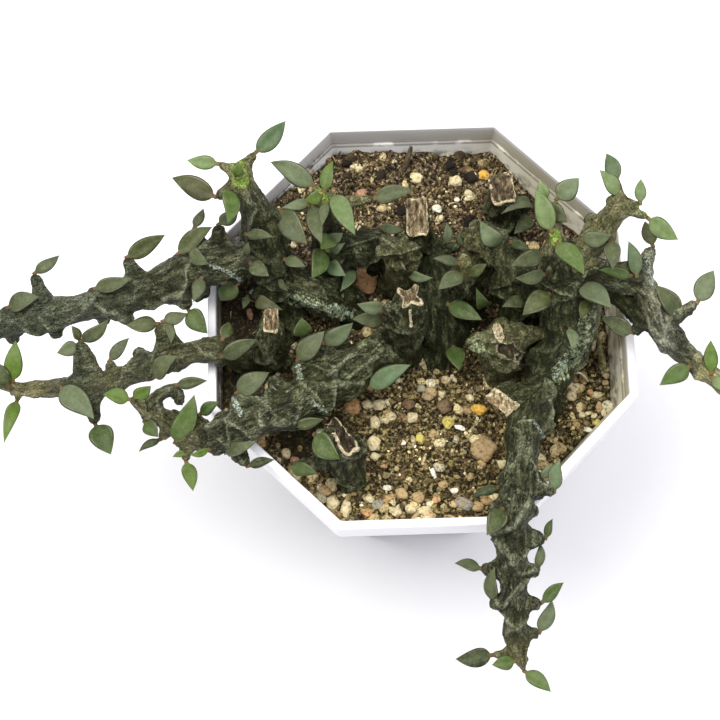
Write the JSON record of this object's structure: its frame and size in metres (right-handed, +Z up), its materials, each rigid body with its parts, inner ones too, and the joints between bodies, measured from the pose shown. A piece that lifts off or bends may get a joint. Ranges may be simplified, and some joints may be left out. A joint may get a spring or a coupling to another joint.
{
  "type": "potted trailing succulent",
  "caption": "Trailing four-angled succulent with small pointed leaves, sprawling over the rim of an octagonal white pot.",
  "frame": {"origin": "centre of the pot's flat underside", "axes": "+Z up out of the pot, +X to the right and +Y to the back as the picture shows it, both square to flat sides of the octagon"},
  "size_m": [0.1816, 0.1369, 0.1189],
  "materials": {
    "pot_plastic": "semi-gloss moulded",
    "potting_mix": "rough granular",
    "stem_bark": "rough cracked",
    "leaf_blade": "satin"
  },
  "bodies": {
    "root": {"leaf_east_1": "leaf_blade", "leaf_east_10": "leaf_blade", "leaf_east_11": "leaf_blade", "leaf_east_12": "leaf_blade", "leaf_east_13": "leaf_blade", "leaf_east_14": "leaf_blade", "leaf_east_15": "leaf_blade", "leaf_east_16": "leaf_blade", "leaf_east_17": "leaf_blade", "leaf_east_2": "leaf_blade", "leaf_east_3": "leaf_blade", "leaf_east_4": "leaf_blade", "leaf_east_5": "leaf_blade", "leaf_east_6": "leaf_blade", "leaf_east_7": "leaf_blade", "leaf_east_8": "leaf_blade", "leaf_east_9": "leaf_blade", "leaf_front_1": "leaf_blade", "leaf_middle_1": "leaf_blade", "leaf_north_1": "leaf_blade", "leaf_north_2": "leaf_blade", "leaf_north_3": "leaf_blade", "leaf_southwest_1": "leaf_blade", "leaf_southwest_2": "leaf_blade", "leaf_southwest_3": "leaf_blade", "leaf_southwest_4": "leaf_blade", "leaf_southwest_5": "leaf_blade", "leaf_southwest_6": "leaf_blade", "leaf_southwest_7": "leaf_blade", "leaf_west_middle_1": "leaf_blade", "leaf_west_middle_2": "leaf_blade", "leaf_west_middle_3": "leaf_blade", "leaf_west_middle_4": "leaf_blade", "leaf_west_middle_5": "leaf_blade", "leaf_west_middle_6": "leaf_blade", "leaf_west_middle_7": "leaf_blade", "leaf_west_upper_1": "leaf_blade", "leaf_west_upper_2": "leaf_blade", "leaf_west_upper_3": "leaf_blade", "leaf_west_upper_4": "leaf_blade", "leaf_west_upper_5": "leaf_blade", "leaf_west_upper_6": "leaf_blade", "leaf_west_upper_7": "leaf_blade", "leaf_west_upper_8": "leaf_blade", "leaf_west_upper_9": "leaf_blade", "pot": "pot_plastic", "soil": "potting_mix", "stem_east": "stem_bark", "stem_inner_east": "stem_bark", "stem_middle": "stem_bark", "stem_north": "stem_bark", "stem_southwest": "stem_bark", "stem_west_middle": "stem_bark", "stem_west_upper": "stem_bark", "stump_broken": "stem_bark", "stump_front": "stem_bark", "stump_north": "stem_bark", "stump_northeast": "stem_bark", "stump_star": "stem_bark", "stump_west": "stem_bark"}
  },
  "joints": []
}
